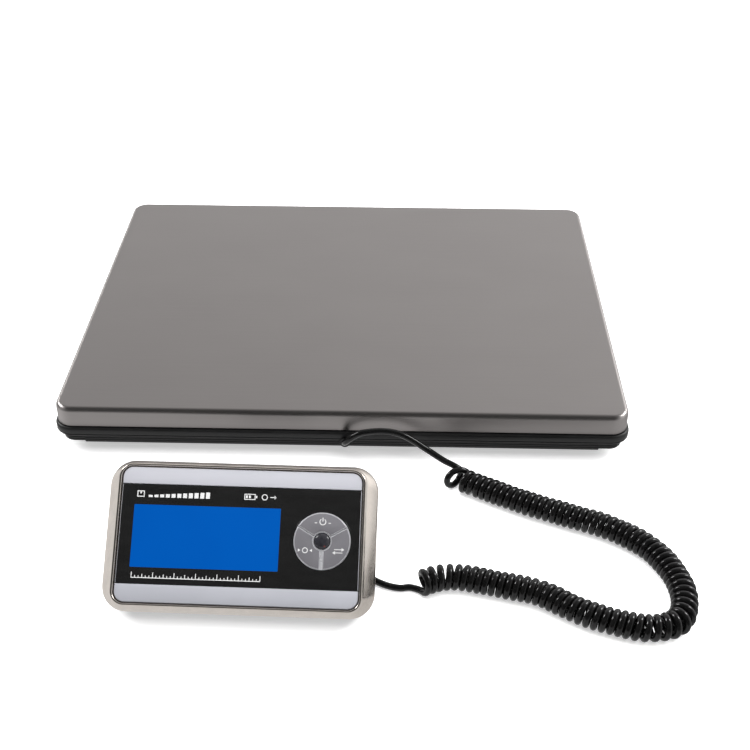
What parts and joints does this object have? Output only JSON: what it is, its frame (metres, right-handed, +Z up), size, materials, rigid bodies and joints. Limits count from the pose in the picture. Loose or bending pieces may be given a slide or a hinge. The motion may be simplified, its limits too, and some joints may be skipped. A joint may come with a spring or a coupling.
{
  "type": "platform shipping scale",
  "caption": "Low shipping scale: stainless tray on a black base with four feet, and a separate leaning display unit joined to it by a curly cord.",
  "frame": {"origin": "on the ground, at the middle of the box round the base and the display unit without their cord", "axes": "+Z up, +X to the right seen from the display's side, +Y from the display unit towards the platform"},
  "size_m": [0.4065, 0.4691, 0.0729],
  "materials": {
    "brushed_stainless": "horizontally brushed stainless sheet",
    "base_black": "satin moulded ABS",
    "rubber": "moulded rubber",
    "cell_steel": "plain stamped steel",
    "zinc": "zinc plated",
    "wire_grey": "PVC insulated wire",
    "board_green": "solder mask",
    "housing_black": "fine spark-eroded ABS",
    "satin_nickel": "satin nickel plate",
    "window_black": "back-printed acrylic",
    "silver_strip": "silver painted",
    "lcd_blue": "backlit blue LCD",
    "white_plastic": "diffuser",
    "key_grey": "silver-grey painted keys",
    "dome_black": "dark translucent dome",
    "switch_black": "tact switch",
    "battery_jacket": "plain battery jacket",
    "cable_black": "glossy PVC cable jacket"
  },
  "bodies": {
    "base": {"platform_tray": "brushed_stainless", "support_grid": "base_black", "base_shell": "base_black", "load_cell_front_left": "cell_steel", "load_cell_front_right": "cell_steel", "load_cell_rear_left": "cell_steel", "load_cell_rear_right": "cell_steel", "foot_front_left": "rubber", "foot_front_right": "rubber", "foot_rear_left": "rubber", "foot_rear_right": "rubber", "sensor_wire_front_left": "wire_grey", "sensor_wire_front_right": "wire_grey", "sensor_wire_rear_left": "wire_grey", "sensor_wire_rear_right": "wire_grey", "summing_board": "board_green", "cord_base_tail": "cable_black", "base_gland": "rubber", "base_screw_1": "zinc", "base_screw_2": "zinc", "base_screw_3": "zinc", "base_screw_4": "zinc", "base_screw_5": "zinc", "base_screw_6": "zinc", "cord_base_lead": "cable_black", "cord_curl": "cable_black"},
    "display": {"rear_housing": "housing_black", "bezel": "satin_nickel", "front_window": "window_black", "strip_lower": "silver_strip", "strip_upper": "silver_strip", "main_board": "board_green", "lcd_backlight": "white_plastic", "lcd_module": "lcd_blue", "switch_key_top": "switch_black", "switch_key_left": "switch_black", "switch_key_right": "switch_black", "status_dome": "dome_black", "battery_1": "battery_jacket", "battery_2": "battery_jacket", "battery_3": "battery_jacket", "battery_springs": "zinc", "battery_contacts": "zinc", "kickstand_pin": "zinc", "display_screw_1": "zinc", "display_screw_2": "zinc", "display_screw_3": "zinc", "display_screw_4": "zinc", "display_gland": "rubber", "cord_display_lead": "cable_black"},
    "key_top": {"key_top": "key_grey"},
    "key_left": {"key_left": "key_grey"},
    "key_right": {"key_right": "key_grey"},
    "kickstand": {"kickstand": "housing_black"},
    "battery_door": {"battery_door": "housing_black"}
  },
  "joints": [
    {"name": "display_pull", "type": "slide", "parent": "base", "child": "display", "axis": [0, -1, 0], "range_m": [0, 0.12], "deforming": ["cord_base_lead", "cord_curl", "cord_display_lead"]},
    {"name": "key_top_press", "type": "slide", "parent": "display", "child": "key_top", "axis": [0.0149, 0.6618, -0.7495], "range_m": [0, 0.0006], "stiffness_N_per_m": 400, "springref_m": -0.0005},
    {"name": "key_left_press", "type": "slide", "parent": "display", "child": "key_left", "axis": [0.0149, 0.6618, -0.7495], "range_m": [0, 0.0006], "stiffness_N_per_m": 400, "springref_m": -0.0005},
    {"name": "key_right_press", "type": "slide", "parent": "display", "child": "key_right", "axis": [0.0149, 0.6618, -0.7495], "range_m": [0, 0.0006], "stiffness_N_per_m": 400, "springref_m": -0.0005},
    {"name": "kickstand_fold", "type": "hinge", "parent": "display", "child": "kickstand", "pos_m": [-0.05081, -0.17025, 0.04105], "axis": [0.9997, -0.0225, 0], "range_deg": [-77.59, 0]},
    {"name": "battery_door_lift", "type": "slide", "parent": "display", "child": "battery_door", "axis": [0.0149, 0.6618, -0.7495], "range_m": [0, 0.008]}
  ]
}
